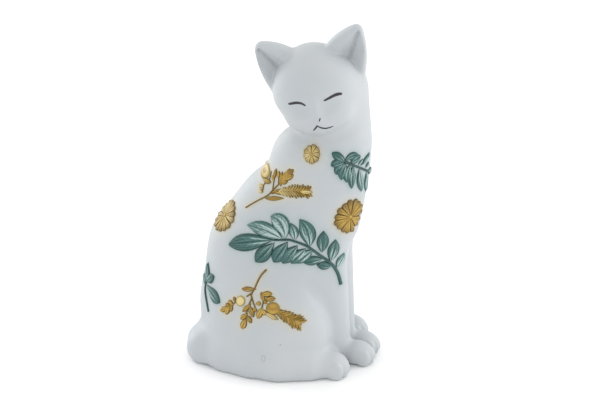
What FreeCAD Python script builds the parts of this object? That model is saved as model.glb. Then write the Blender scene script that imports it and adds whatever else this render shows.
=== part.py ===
import FreeCAD, Part
import math
import os
from FreeCAD import Matrix, Vector

# Seated ceramic cat figurine, a slip-cast hollow body with sprigged flowers and fronds.
# Millimetres. +X is where the chest points, -Y is the cat's right flank, +Z is up.
# The figurine stands on z = 0 with the body's plane of symmetry at y = 0.
# The head is turned round to look out over the right flank.

# ---- driving dimensions ------------------------------------------------------------------
WALL = 4.5                     # thickness of the casting
FLOOR = 5.0                    # thickness of the base
VENT_RADIUS = 6.0              # hole in the base that lets the kiln gases out
VENT_X = -18.0
NECK_PASSAGE_RADIUS = 8.0      # opening between the hollow body and the hollow head
RELIEF = 1.2                   # how far the sprigged decoration stands up
SECTION_POINTS = 48            # points on each section curve

HEAD_CENTRE = (20.2, -6.0, 166.5)
HEAD_YAW = 10.0                # turn about the vertical, 0 looks squarely out over the flank
HEAD_PITCH = 13.0              # the face tips down
HEAD_ROLL = -11.0              # the crown leans towards the tail
HEAD_RADII = (25.5, 25.0, 24.0)
MUZZLE = ((0.0, -20.0, -9.0), (7.5, 6.5, 6.5))

EAR_FOOT = (17.0, 3.0, 11.0)   # middle of the ear's root, in the head's own frame
EAR_TIP = (30.0, 3.0, 33.0)
EAR_HALF_WIDTH = 13.5
EAR_HALF_THICKNESS = 5.0

# The body as rounded masses: centre and radii, from the rump up to the throat.
BODY_MASSES = [
    ((-14.0, 0.0, 30.0), (39.0, 35.0, 46.0), 10.0),
    ((-7.0, 0.0, 64.0), (40.5, 33.0, 38.0), 10.0),
    ((6.5, 0.0, 90.0), (37.5, 28.0, 32.0), 10.0),
    ((20.0, 0.0, 114.0), (27.5, 23.0, 30.0), 10.0),
    ((23.5, 0.0, 134.0), (25.0, 21.5, 27.0), 8.0),
]
NECK = ((25.0, 0.0, 140.0), (27.0, 4.0, 163.0), 22.0, 18.0)
HAUNCH = ((-6.0, 24.0, 20.0), (34.0, 20.0, 41.0))
WEB = ((18.0, 10.0, 60.0), (21.0, 13.0, 4.0), 12.0, 11.0)
# Middle of the body at several heights, as (z, x, y).
BODY_SPINE = [(0.0, -6.0, 0.0), (60.0, -5.0, 0.0), (90.0, 7.0, 0.0), (114.0, 19.0, 0.0),
              (140.0, 24.0, 0.0), (163.0, 27.0, 4.0), (190.0, 27.0, 4.0)]
BODY_HEIGHTS = [0, 3, 8, 15, 24, 34, 45, 56, 66, 76, 86, 96, 106, 116, 126, 136, 145, 153, 160,
                166, 171, 175, 178, 180]
CAVITY_HEIGHTS = [9, 16, 24, 34, 45, 56, 66, 76, 86, 96, 106, 116, 126, 136, 142]

FORELEG = ((25.0, 8.0, 80.0), (32.5, 6.0, 6.5), 12.0, 8.5)
FORELEG_HEIGHTS = [0, 3, 7, 12, 20, 30, 42, 54, 66, 78]
FRONT_PAW = ((45.5, 6.8, 6.5), (9.5, 6.8, 7.5))
HIND_PAW = ((33.0, 27.0, 6.0), (11.0, 9.3, 8.6))
TOE_RADIUS = 3.2

TAIL_PATH = [(-42, 4, 9), (-48, -9, 8.5), (-47, -21, 8.5), (-41, -29, 8), (-28, -34, 7.5),
             (-12, -38, 7), (4, -39, 7), (16, -36.5, 6.5), (24, -33, 6)]
TAIL_RADII = [9.0, 9.0, 9.0, 8.5, 8.5, 8.5, 8.0, 7.0, 4.0]


# ---- soft masses -------------------------------------------------------------------------
def ellipsoid(p, centre, radii):
    """Distance (close enough near the surface) from point p to an ellipsoid."""
    qx = (p[0] - centre[0]) / radii[0]
    qy = (p[1] - centre[1]) / radii[1]
    qz = (p[2] - centre[2]) / radii[2]
    reach = math.sqrt(qx * qx + qy * qy + qz * qz)
    slope = math.sqrt((qx / radii[0]) ** 2 + (qy / radii[1]) ** 2 + (qz / radii[2]) ** 2)
    return reach * (reach - 1.0) / max(slope, 1e-9)


def round_cone(p, a, b, radius_a, radius_b):
    """Distance to a tapering limb with rounded ends."""
    axis = [b[i] - a[i] for i in range(3)]
    length2 = sum(c * c for c in axis)
    along = sum((p[i] - a[i]) * axis[i] for i in range(3)) / length2
    along = min(1.0, max(0.0, along))
    gap2 = sum((p[i] - a[i] - along * axis[i]) ** 2 for i in range(3))
    return math.sqrt(gap2) - (radius_a + (radius_b - radius_a) * along)


def blend(a, b, width):
    """Union of two masses with a soft valley this wide between them."""
    share = min(1.0, max(0.0, 0.5 + 0.5 * (b - a) / width))
    return b + (a - b) * share - width * share * (1.0 - share)


def body(p):
    """The seated body with both haunches and the web of skin down to each foreleg."""
    mirrored = (p[0], abs(p[1]), p[2])
    centre, radii, width = BODY_MASSES[0]
    d = ellipsoid(p, centre, radii)
    for centre, radii, width in BODY_MASSES[1:]:
        d = blend(d, ellipsoid(p, centre, radii), width)
    d = blend(d, round_cone(p, *NECK), 6.0)
    d = blend(d, ellipsoid(mirrored, *HAUNCH), 12.0)
    return blend(d, round_cone(mirrored, *WEB), 6.0)


def forelegs(p):
    """Both forelegs, cast as one column."""
    mirrored = (p[0], math.sqrt(p[1] ** 2 + 1.0), p[2])
    return round_cone(mirrored, *FORELEG)


def paw(p, centre, radii):
    """A paw: a pad with four toes across its front."""
    d = ellipsoid(p, centre, radii)
    for spread in (-1.5, -0.5, 0.5, 1.5):
        toe_y = centre[1] + spread * radii[1] * 0.46
        toe_x = centre[0] + radii[0] * (0.72 - 0.09 * spread ** 2)
        d = blend(d, ellipsoid(p, (toe_x, toe_y, 4.2), (TOE_RADIUS, TOE_RADIUS * 0.8, 4.6)), 1.2)
    return d


def head(p):
    """Skull and muzzle, in the head's own frame: +X its left, -Y its face, +Z its crown."""
    return blend(ellipsoid(p, (0.0, 0.0, 0.0), HEAD_RADII), ellipsoid(p, *MUZZLE), 8.0)


# ---- section curves and lofts ------------------------------------------------------------
def outward_distance(field, centre, direction, limit=90.0):
    """How far from the centre the surface lies in this direction."""
    near = 0.0
    far = 1.5
    while field([centre[i] + direction[i] * far for i in range(3)]) < 0.0 and far < limit:
        near = far
        far += 1.5
    for _ in range(22):
        middle = 0.5 * (near + far)
        if field([centre[i] + direction[i] * middle for i in range(3)]) < 0.0:
            near = middle
        else:
            far = middle
    return near


def closed_curve(points):
    """A smooth closed wire through the points, evenly parametrised so that lofts stay clean."""
    curve = Part.BSplineCurve()
    steps = [float(i) for i in range(len(points) + 1)]
    curve.interpolate(Points=points, PeriodicFlag=True, Parameters=steps)
    return Part.Wire(curve.toShape())


def level_section(field, x, y, height, count=SECTION_POINTS):
    """The closed curve in which a mass meets a level plane."""
    points = []
    for i in range(count):
        angle = 2.0 * math.pi * i / count
        direction = (math.cos(angle), math.sin(angle), 0.0)
        reach = outward_distance(field, (x, y, height), direction)
        points.append(Vector(x + reach * direction[0], y + reach * direction[1], height))
    return closed_curve(points)


def loft(wires):
    """A closed solid through the section wires."""
    solid = Part.makeLoft(wires, True, False)
    if solid.ShapeType != "Solid":
        solid = Part.Solid(Part.Shell(solid.Faces))
    if solid.Volume < 0:
        solid.reverse()
    return solid


def main_solid(shape):
    """The one solid that matters, without the crumbs a cut can leave."""
    return max(shape.Solids, key=lambda s: s.Volume)


def spine(height):
    """Where the body's middle lies at this height, as (x, y)."""
    for (z0, x0, y0), (z1, x1, y1) in zip(BODY_SPINE, BODY_SPINE[1:]):
        if height <= z1:
            share = (height - z0) / (z1 - z0)
            return x0 + (x1 - x0) * share, y0 + (y1 - y0) * share
    return BODY_SPINE[-1][1:]


def body_loft(offset, heights):
    """The body's skin moved outwards by offset."""
    return loft([level_section(lambda p: body(p) - offset, *spine(z), z) for z in heights])


def paw_loft(centre, radii):
    """A paw standing on the ground."""
    top = centre[2] + radii[2]
    heights = [0.0, 0.15 * top, 0.35 * top, 0.55 * top, 0.72 * top, 0.86 * top, 0.95 * top, 0.99 * top]
    field = lambda p: paw(p, centre, radii)
    return loft([level_section(field, centre[0], centre[1], z, 64) for z in heights])


def head_loft(inset, lowest, highest, count):
    """The head's skin moved inwards by inset, still in the head's own frame."""
    wires = []
    for i in range(count):
        angle = math.radians(lowest + (highest - lowest) * i / (count - 1))
        height = (HEAD_RADII[2] - inset) * math.sin(angle)
        wires.append(level_section(lambda p: head(p) + inset, 0.0, -1.0, height))
    return loft(wires)


def ear_loft(side):
    """One ear, +1 for the left and -1 for the right: a pointed cup, hollow towards the face."""
    axis = Vector(*EAR_TIP) - Vector(*EAR_FOOT)
    length = axis.Length
    axis = axis / length
    across = Vector(axis.z, 0, -axis.x)
    wires = []
    for t in (-0.25, -0.05, 0.15, 0.35, 0.52, 0.68, 0.82, 0.92, 0.98):
        middle = Vector(*EAR_FOOT) + axis * (t * length)
        half_width = EAR_HALF_WIDTH * (1.0 - max(t, 0.0)) ** 0.8 + 0.7
        half_thick = EAR_HALF_THICKNESS * (1.0 - 0.55 * max(t, 0.0))
        hollow = half_thick * 1.1 * (1.0 - max(t, 0.0))
        points = []
        for i in range(24):
            angle = 2.0 * math.pi * i / 24
            u = half_width * math.cos(angle)
            depth = half_thick * math.sin(angle)
            if depth < 0:
                depth += hollow * (1.0 - (u / half_width) ** 2)
            point = middle + across * u + Vector(0, depth, 0)
            points.append(Vector(side * point.x, point.y, point.z))
        wires.append(closed_curve(points))
    return loft(wires)


def tail_loft():
    """The tail, laid round the rump and along the right flank."""
    points = [Vector(*p) for p in TAIL_PATH]
    curve = Part.BSplineCurve()
    steps = [float(i) for i in range(len(points))]
    curve.interpolate(Points=points, Parameters=steps)
    wires = []
    for i in range(2 * len(points) - 1):
        t = 0.5 * i
        low = min(int(t), len(points) - 2)
        radius = TAIL_RADII[low] + (TAIL_RADII[low + 1] - TAIL_RADII[low]) * (t - low)
        circle = Part.Circle(curve.value(t), Vector(*curve.tangent(t)[0]), radius)
        wires.append(Part.Wire(circle.toShape()))
    return loft(wires)


# ---- head placement ----------------------------------------------------------------------
def head_matrix():
    """From the head's own frame to the figurine's."""
    place = Matrix()
    place.rotateY(math.radians(HEAD_ROLL))
    place.rotateX(math.radians(HEAD_PITCH))
    place.rotateZ(math.radians(HEAD_YAW))
    place.move(Vector(*HEAD_CENTRE))
    return place


def placed(shape, matrix):
    return shape.transformGeometry(matrix)


# ---- sprigged decoration -----------------------------------------------------------------
def leaf(base, tip, width):
    """A pointed leaf outline, as a flat face."""
    a = Vector(base[0], base[1], 0)
    b = Vector(tip[0], tip[1], 0)
    side = Vector(a.y - b.y, b.x - a.x, 0)
    side = side / side.Length * (width / 2.0)
    belly = a + (b - a) * 0.5
    edges = [Part.Arc(a, belly + side, b).toShape(), Part.Arc(b, belly - side, a).toShape()]
    return Part.Face(Part.Wire(edges))


def disc(centre, radius):
    """A round berry or the heart of a flower."""
    return Part.Face(Part.Wire(Part.Circle(Vector(centre[0], centre[1], 0), Vector(0, 0, 1), radius).toShape()))


def stem(points, width):
    """A stem of even width through the points."""
    faces = []
    for a, b in zip(points, points[1:]):
        start = Vector(a[0], a[1], 0)
        end = Vector(b[0], b[1], 0)
        side = Vector(start.y - end.y, end.x - start.x, 0)
        side = side / side.Length * (width / 2.0)
        corners = [start + side, start - side, end - side, end + side, start + side]
        faces.append(Part.Face(Part.makePolygon(corners)))
        faces.append(disc(b, width / 2.0))
    return faces


def flower(centre, radius, petals, petal_width):
    """Petals round a heart."""
    faces = [disc(centre, radius * 0.42)]
    for i in range(petals):
        angle = 2.0 * math.pi * i / petals
        start = (centre[0] + 0.2 * radius * math.cos(angle), centre[1] + 0.2 * radius * math.sin(angle))
        end = (centre[0] + radius * math.cos(angle), centre[1] + radius * math.sin(angle))
        faces.append(leaf(start, end, petal_width))
    return faces


def spike(base, tip, width, rows):
    """A serrated flower spike: pairs of short scales up a middle leaf."""
    faces = [leaf(base, tip, width * 0.75)]
    run = (tip[0] - base[0], tip[1] - base[1])
    length = math.hypot(*run)
    ahead = (run[0] / length, run[1] / length)
    for i in range(rows):
        t = 0.12 + 0.72 * i / (rows - 1)
        root = (base[0] + run[0] * t, base[1] + run[1] * t)
        half = width * 0.62 * math.sin(math.pi * (0.25 + 0.7 * t))
        for side in (-1, 1):
            end = (root[0] + ahead[0] * half * 0.9 - side * ahead[1] * half,
                   root[1] + ahead[1] * half * 0.9 + side * ahead[0] * half)
            faces.append(leaf(root, end, width * 0.36))
    return faces


def frond_flank():
    """The large green frond across the flank."""
    faces = stem([(30, -28), (28, -19), (21.5, -11), (11, -3.5), (0, 0), (-11, -0.5)], 1.6)
    faces.append(leaf((-10, -0.5), (-33, -6.5), 9))
    above = [((-10, 0), (-23, 6.5), 7), ((-2, 0), (-11, 13), 9), ((9, -3), (9, 12.5), 8),
             ((18, -8.5), (20.5, 5.5), 6.5), ((23, -12.5), (27, 1), 5), ((27, -17), (31, -9), 4)]
    below = [((-8, -0.5), (-18, -14), 8), ((-1, -0.2), (-7, -13), 6), ((5, -1.5), (-1, -13.7), 5.5),
             ((11, -3.5), (6, -13.5), 5), ((16, -7), (11, -14.5), 4.5), ((20, -10), (15, -16.5), 4)]
    for base, tip, width in above + below:
        faces.append(leaf(base, tip, width))
    return faces


def fern_chest():
    """The green fern on the chest and throat."""
    faces = stem([(-4, 9), (2, 5), (8, 0), (14, -6)], 1.5)
    for base, tip, width in [((0, 6.5), (-9, 9), 6), ((1, 6), (-9, 3), 6), ((3, 4), (-5, -5), 5),
                             ((6, 2), (0, -10), 4.5), ((9, -1), (5, -14), 4.5), ((11, -3), (10, -15), 4),
                             ((2, 5), (3, 13), 4.5), ((5, 3), (9, 11), 4), ((9, -1), (15, 6), 4)]:
        faces.append(leaf(base, tip, width))
    return faces


def leaf_rump():
    """The green leaf on the rump beside the tail."""
    faces = stem([(-5, -15), (-4, -6), (-4, 2)], 1.6)
    for base, tip, width in [((-4, 0), (-6, 13), 7), ((-4, 0), (2, 7), 5), ((-4, -4), (8, -5), 6),
                             ((-4, -8), (-11, -3), 5)]:
        faces.append(leaf(base, tip, width))
    return faces


def sprig_shoulder():
    """The gold sprig behind the shoulder: an oval pod, small leaflets and a flower spike."""
    faces = stem([(-15, -12), (0, 0), (4, 4.5), (12, 13)], 1.4)
    faces += stem([(0, 0), (-6, 7), (-10, 10)], 1.2)
    faces.append(disc((-10, 12), 3.4))
    faces += spike((0.5, 0.4), (24, 4.5), 6, 6)
    for base, tip, width in [((4, 4.5), (0, 12), 3.2), ((6, 6.5), (5, 14), 3), ((8, 9), (14, 9.5), 3),
                             ((10, 11), (11, 17), 3), ((-3, 3), (-9, 4.5), 2.8), ((-2, -1.5), (-1, -6), 3)]:
        faces.append(leaf(base, tip, width))
    return faces


def sprig_haunch():
    """The gold sprig on the haunch: two berries, two leafy twigs and a cone of petals."""
    faces = stem([(3, 13), (-0.5, 8), (-5, 0), (-6, -4), (-8, -21)], 1.4)
    faces += stem([(-6, -3), (-14, -9), (-22, -13)], 1.2)
    faces += stem([(-4, 1), (2, -4), (7, -8)], 1.2)
    faces.append(disc((-12, -6.5), 2.8))
    faces.append(disc((7.5, -8.5), 3.3))
    faces += spike((8, -8), (24, -18), 7, 6)
    for base, tip, width in [((-14, -9), (-19, -8), 2.8), ((-16, -10), (-18, -15), 2.8),
                             ((-20, -12), (-24, -14), 2.8), ((-7, -10), (-12, -13), 3),
                             ((-7, -10), (-3, -14), 3), ((-7.5, -15), (-12, -19), 3),
                             ((-7.5, -15), (-3, -18), 3), ((1, -3), (3, -12), 3), ((-2, 4), (-8, 3), 3),
                             ((3, -5), (4, 1), 3), ((6, -7), (9, -2), 3)]:
        faces.append(leaf(base, tip, width))
    return faces


# Where each sprig sits on the body: a point on the skin, the compass bearing and the
# elevation it faces in degrees, the drawing, and the finish group.
SPRIGS = {
    "frond_flank": ((7.7, -29.4, 83.7), -81.0, 6.0, frond_flank()),
    "fern_chest": ((41.1, -15.8, 124.0), -48.0, -2.0, fern_chest()),
    "leaf_rump": ((-39.0, -25.6, 46.7), -141.0, 16.0, leaf_rump()),
    "daisy_chest": ((41.8, -12.0, 95.4), -38.0, -5.0, flower((0, 0), 10.8, 12, 5.2)),
    "daisy_back": ((-33.0, -15.0, 89.0), -139.0, 30.0, flower((0, 0), 10.0, 12, 4.8)),
    "star_flower_throat": ((21.0, -23.0, 133.7), -95.0, -1.0, flower((0, 0), 5.4, 8, 3.6)),
    "gold_sprig_shoulder": ((-2.8, -21.6, 109.4), -109.0, 27.0, sprig_shoulder()),
    "gold_sprig_haunch": ((-5.2, -37.8, 53.6), -87.0, 20.0, sprig_haunch()),
}
# The far flank carries its own copies of these four, mirrored.
FAR_SIDE = ["frond_flank", "gold_sprig_shoulder", "gold_sprig_haunch", "leaf_rump"]
PRISM_DEPTH = 17.0


def sprig_solid(centre, bearing, elevation, faces, skin, body_solid, others):
    """A drawing pressed onto the body: as thick as the layer between the skin and the body."""
    a = math.radians(bearing)
    e = math.radians(elevation)
    normal = Vector(math.cos(a) * math.cos(e), math.sin(a) * math.cos(e), math.sin(e))
    right = Vector(-math.sin(a), math.cos(a), 0)
    up = normal.cross(right)
    origin = Vector(*centre) - normal * PRISM_DEPTH
    place = Matrix(right.x, up.x, normal.x, origin.x,
                   right.y, up.y, normal.y, origin.y,
                   right.z, up.z, normal.z, origin.z,
                   0, 0, 0, 1)
    prisms = [face.extrude(Vector(0, 0, PRISM_DEPTH + 12.0)) for face in faces]
    prism = prisms[0].multiFuse(prisms[1:]).removeSplitter()
    prism.transformShape(place)
    solid = prism.common(skin).cut(body_solid)
    for other in others:
        solid = solid.cut(other)
    return main_solid(solid)


# ---- build -------------------------------------------------------------------------------
def build():
    """Every piece of the figurine, by name."""
    to_world = head_matrix()
    body_outer = body_loft(0.0, BODY_HEIGHTS)
    body_skin = body_loft(RELIEF, BODY_HEIGHTS)
    body_cavity = body_loft(-WALL, [FLOOR] + CAVITY_HEIGHTS)
    head_outer = placed(head_loft(0.0, -84.0, 84.0, 17), to_world)
    head_cavity = placed(head_loft(WALL, -80.0, 80.0, 13), to_world)

    throat = Vector(25.0, 1.0, 136.0)
    rise = Vector(*HEAD_CENTRE) - throat
    passage = Part.makeCylinder(NECK_PASSAGE_RADIUS, rise.Length, throat, rise)
    vent = Part.makeCylinder(VENT_RADIUS, FLOOR + 6.0, Vector(VENT_X, 0.0, -1.0), Vector(0, 0, 1))

    nodes = {}
    torso = body_outer.cut(head_outer).cut(body_cavity).cut(passage).cut(vent)
    nodes["torso_shell"] = main_solid(torso)
    nodes["head_shell"] = main_solid(head_outer.cut(head_cavity).cut(passage))

    for name, side in (("ear_left", 1), ("ear_right", -1)):
        ear = placed(ear_loft(side), to_world)
        nodes[name] = main_solid(ear.cut(head_outer))

    column = loft([level_section(forelegs, 25.0 + 7.5 * (80 - z) / 73.5, 0.0, z) for z in FORELEG_HEIGHTS])
    nodes["forelegs"] = main_solid(column.cut(body_outer))
    nodes["tail"] = main_solid(above_ground(tail_loft()).cut(body_outer))

    for name, side in (("left", 1), ("right", -1)):
        front = half(paw_loft(*FRONT_PAW))
        hind = paw_loft(*HIND_PAW)
        if side < 0:
            front = front.mirror(Vector(0, 0, 0), Vector(0, 1, 0))
            hind = hind.mirror(Vector(0, 0, 0), Vector(0, 1, 0))
        front = front.cut(body_outer).cut(column)
        hind = hind.cut(body_outer).cut(column).cut(nodes["tail"])
        nodes["front_paw_" + name] = main_solid(front)
        nodes["hind_paw_" + name] = main_solid(hind)

    others = [column, head_outer, nodes["tail"]]
    for name, (centre, bearing, elevation, faces) in SPRIGS.items():
        nodes[name] = sprig_solid(centre, bearing, elevation, faces, body_skin, body_outer, others)
    for name in FAR_SIDE:
        centre, bearing, elevation, faces = SPRIGS[name]
        near = sprig_solid(centre, bearing, elevation, faces, body_skin, body_outer, [column, head_outer])
        nodes[name + "_far"] = near.mirror(Vector(0, 0, 0), Vector(0, 1, 0))
    return nodes


def above_ground(shape):
    """The part of a shape above z = 0."""
    return shape.common(Part.makeBox(300, 300, 300, Vector(-150, -150, 0)))


def half(shape):
    """The part of a shape on the left of the body's plane of symmetry."""
    return shape.common(Part.makeBox(300, 150, 300, Vector(-150, 0, -100)))


os.makedirs("parts", exist_ok=True)
for node, shape in build().items():
    if not shape.isValid():
        shape.fix(0.01, 0.01, 0.01)
    shape.exportStep("parts/" + node + ".step")
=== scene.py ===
"""Ceramic cat figurine: glazed skin, painted face and sprigged relief, built round the CAD frame.

The figurine is worked out in millimetres and turned into metres when a mesh is made.
+X is where the chest points, -Y is out of the right flank, +Z is up.
"""
import math
import bpy
import numpy as np
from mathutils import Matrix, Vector
from mathutils.kdtree import KDTree


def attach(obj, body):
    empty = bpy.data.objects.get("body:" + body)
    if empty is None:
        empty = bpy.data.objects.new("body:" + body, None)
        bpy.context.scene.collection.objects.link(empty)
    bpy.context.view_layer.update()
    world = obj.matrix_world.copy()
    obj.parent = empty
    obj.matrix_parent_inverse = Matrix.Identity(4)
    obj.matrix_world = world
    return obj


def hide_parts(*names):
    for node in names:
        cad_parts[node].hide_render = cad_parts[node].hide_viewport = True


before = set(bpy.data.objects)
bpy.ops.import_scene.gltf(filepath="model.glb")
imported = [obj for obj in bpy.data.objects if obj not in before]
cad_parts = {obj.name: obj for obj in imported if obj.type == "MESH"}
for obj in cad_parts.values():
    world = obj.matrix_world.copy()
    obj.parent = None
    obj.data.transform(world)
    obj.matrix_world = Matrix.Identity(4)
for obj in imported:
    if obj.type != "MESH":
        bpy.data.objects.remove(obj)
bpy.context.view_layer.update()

MM = 0.001

# ---- the clay masses (millimetres) -------------------------------------------------------
BODY_MASSES = [
    ((-14.0, 0.0, 30.0), (39.0, 35.0, 46.0), 10.0),
    ((-7.0, 0.0, 64.0), (40.5, 33.0, 38.0), 10.0),
    ((7.0, 0.0, 90.0), (36.6, 28.0, 32.0), 10.0),
    ((20.0, 0.0, 114.0), (27.5, 23.0, 30.0), 10.0),
    ((20.5, 0.0, 126.0), (27.2, 22.5, 20.0), 8.0),
]
NECK = ((30.2, 0.0, 138.0), (29.3, 4.0, 163.0), 19.3, 17.0)
HAUNCH = ((-4.5, 22.8, 20.0), (35.5, 20.2, 41.0))
WEB = ((18.0, 10.0, 60.0), (21.0, 13.0, 4.0), 12.0, 11.0)
FORELEG = ((25.0, 8.0, 80.0), (32.5, 6.0, 7.5), 12.0, 8.0)
FRONT_PAW = ((45.0, 6.8, 6.5), (10.5, 7.2, 7.8))
HIND_PAW = ((32.5, 25.4, 6.0), (11.5, 9.3, 9.0))
TAIL_PATH = [(-41, 4, 8), (-47.5, -16, 8), (-44, -26, 8), (-28, -31.5, 7),
             (-12, -34.5, 7), (4, -35.5, 7), (22, -31.5, 6)]
TAIL_RADII = [8.0, 8.3, 8.8, 8.5, 8.5, 8.5, 8.0]
HEAD_CENTRE = np.array([20.2, -6.0, 166.5])
HEAD_YAW, HEAD_PITCH, HEAD_ROLL = 10.0, 13.0, -11.0
HEAD_RADII = (25.5, 25.0, 24.0)
EAR_TIPS = {1.0: (30.2, 34.6), -1.0: (29.8, 32.6)}   # the left ear stands a little higher
EAR_DEPTH = 3.0                # how far behind the head's middle the ears stand
CREASE_DEPTH, CREASE_WIDTH = 0.75, 1.0  # groove down the middle of each ear's hollow
VENT_X, VENT_RADIUS, VENT_DEPTH = -18.0, 6.0, 3.5
SHELL = {"torso_shell": 3.0, "head_shell": 2.5, "tail": 2.0, "forelegs": 2.0}
THIN_SHELL = 1.0               # thickness of the other pieces of the skin, the paws and ears
GRID_STEP = 1.0                # spacing of the skin's vertices
GRID_LOW, GRID_HIGH = (-63.0, -53.0, -3.0), (63.0, 53.0, 210.0)
TOES = (-0.85, -0.3, 0.3, 0.85)         # where a paw's toes lie across it, from -1 to 1


# ---- field helpers -----------------------------------------------------------------------
def ellipsoid(p, centre, radii):
    """Distance (close enough near the surface) from points p to an ellipsoid."""
    q = (p - np.array(centre)) / np.array(radii)
    reach = np.sqrt((q * q).sum(-1))
    q = q / np.array(radii)
    slope = np.sqrt((q * q).sum(-1))
    return reach * (reach - 1.0) / np.maximum(slope, 1e-9)


def round_cone(p, a, b, radius_a, radius_b):
    """Distance to a tapering limb with rounded ends."""
    a = np.array(a, float)
    axis = np.array(b, float) - a
    along = np.clip(((p - a) @ axis) / (axis @ axis), 0.0, 1.0)
    gap = p - a - along[..., None] * axis
    return np.sqrt((gap * gap).sum(-1)) - (radius_a + (radius_b - radius_a) * along)


def blend(a, b, width):
    """Union of two masses with a soft valley this wide between them."""
    share = np.clip(0.5 + 0.5 * (b - a) / width, 0.0, 1.0)
    return b + (a - b) * share - width * share * (1.0 - share)


def carve(a, tool, width):
    """Takes a tool's volume out of a mass, with a soft edge."""
    return -blend(-a, tool, width)


def mirrored(p, soft=0.0):
    """Points folded onto the left of the plane of symmetry."""
    q = p.copy()
    q[..., 1] = np.sqrt(q[..., 1] ** 2 + soft)
    return q


def turn(yaw, pitch, roll):
    """Rotation matrix whose columns are the turned piece's own axes."""
    y, t, r = np.radians([yaw, pitch, roll])
    about_z = np.array([[np.cos(y), -np.sin(y), 0], [np.sin(y), np.cos(y), 0], [0, 0, 1]])
    about_x = np.array([[1, 0, 0], [0, np.cos(t), -np.sin(t)], [0, np.sin(t), np.cos(t)]])
    about_y = np.array([[np.cos(r), 0, np.sin(r)], [0, 1, 0], [-np.sin(r), 0, np.cos(r)]])
    return about_z @ about_x @ about_y


HEAD_TURN = turn(HEAD_YAW, HEAD_PITCH, HEAD_ROLL)


def head_frame(p):
    """Points in the head's own frame: +X its left, -Y its face, +Z its crown."""
    return (p - HEAD_CENTRE) @ HEAD_TURN


def arc_through(a, b, radius, side):
    """Centre and radius of the circle through a and b, on the given side of the line."""
    a = np.array(a, float)
    b = np.array(b, float)
    chord = b - a
    length = np.linalg.norm(chord)
    normal = np.array([chord[1], -chord[0]]) / length
    centre = (a + b) / 2 + side * normal * math.sqrt(radius ** 2 - length ** 2 / 4)
    return centre[0], centre[1], radius


# ---- the masses of each piece ------------------------------------------------------------
def torso(p):
    q = mirrored(p)
    centre, radii, width = BODY_MASSES[0]
    d = ellipsoid(p, centre, radii)
    for centre, radii, width in BODY_MASSES[1:]:
        d = blend(d, ellipsoid(p, centre, radii), width)
    d = blend(d, round_cone(p, *NECK), 6.0)
    return blend(d, ellipsoid(q, *HAUNCH), 6.5)


def forelegs(p):
    q = mirrored(p, 1.0)
    return blend(round_cone(q, *FORELEG), round_cone(q, *WEB), 7.0)


def paw(p, side, centre, radii):
    """A paw on one side: a pad with a row of rounded toes along its front."""
    q = p.copy()
    q[..., 1] *= side
    d = ellipsoid(q, centre, (radii[0] * 0.95, radii[1] * 0.97, radii[2] * 0.97))
    for spread in TOES:
        ahead = radii[0] * (0.62 * math.sqrt(1.0 - 0.75 * spread ** 2))
        toe = (centre[0] + ahead, centre[1] + radii[1] * 0.78 * spread, centre[2] * 0.78)
        d = blend(d, ellipsoid(q, toe, (radii[0] * 0.42, radii[1] * 0.27, radii[2] * 0.68)), 1.0)
    return d


def front_paw(p, side):
    return paw(p, side, *FRONT_PAW)


def hind_paw(p, side):
    return paw(p, side, *HIND_PAW)


def tail(p):
    d = round_cone(p, TAIL_PATH[0], TAIL_PATH[1], TAIL_RADII[0], TAIL_RADII[1])
    for i in range(1, len(TAIL_PATH) - 1):
        piece = round_cone(p, TAIL_PATH[i], TAIL_PATH[i + 1], TAIL_RADII[i], TAIL_RADII[i + 1])
        d = blend(d, piece, 6.0)
    return d


def skull(p):
    """The head with its soft face, without ears."""
    h = head_frame(p)
    s = h.copy()
    s[..., 0] = np.abs(s[..., 0])
    jaw = h.copy()
    jaw[..., 0] *= 1.0 + 0.006 * np.maximum(-h[..., 2], 0.0)
    d = ellipsoid(jaw, (0.0, 0.0, 0.0), HEAD_RADII)
    d = blend(d, ellipsoid(h, (-2.0, 2.0, 6.0), (18.0, 18.0, 19.6)), 6.0)
    d = blend(d, ellipsoid(h, (0.0, -20.0, -9.0), (7.5, 6.5, 6.5)), 8.0)
    d = blend(d, round_cone(h, (0.0, -20.5, 6.0), (0.0, -25.2, -5.0), 3.2, 2.3), 3.0)
    d = carve(d, ellipsoid(s, (10.5, -27.0, 1.6), (7.5, 4.6, 4.0)), 4.0)
    d = blend(d, ellipsoid(s, (9.5, -15.0, -8.0), (8.5, 7.8, 7.5)), 5.0)
    return d


def ear(p, side):
    """One ear: a blunt curved triangle with a creased hollow facing forward."""
    h = head_frame(p)
    x = h[..., 0] * side
    y = h[..., 1]
    z = h[..., 2]

    def round_edge(circle):
        return np.hypot(x - circle[0], z - circle[1]) - circle[2]

    inner = round_edge(arc_through((6.5, 22.0), EAR_TIPS[side], 36.0 if side > 0 else 30.0, 1))
    outer = round_edge(arc_through((26.0, 1.0), EAR_TIPS[side], 60.0, -1))
    outline = -blend(-inner, -outer, 4.5)
    slab = np.abs(y - EAR_DEPTH) - 4.2
    d = -blend(-outline, -slab, 4.0)
    # the hollow: two flat slopes that meet in a grooved crease from the tip to the root
    beside = np.abs(x - 17.5 - (z - 10.0) * 0.52)
    groove = CREASE_DEPTH * np.exp(-(beside / CREASE_WIDTH) ** 2)
    slopes = y - EAR_DEPTH - 0.6 + 0.50 * beside + 0.25 * np.maximum(z - 19.0, 0.0) - groove
    hollow = -blend(-(outline + 1.4), -slopes, 1.0)
    return carve(d, hollow, 0.9)


PARTS = {
    "torso_shell": torso,
    "tail": tail,
    "forelegs": forelegs,
    "hind_paw_left": lambda p: hind_paw(p, 1.0),
    "hind_paw_right": lambda p: hind_paw(p, -1.0),
    "front_paw_left": lambda p: front_paw(p, 1.0),
    "front_paw_right": lambda p: front_paw(p, -1.0),
    "head_shell": skull,
    "ear_left": lambda p: ear(p, 1.0),
    "ear_right": lambda p: ear(p, -1.0),
}


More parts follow.
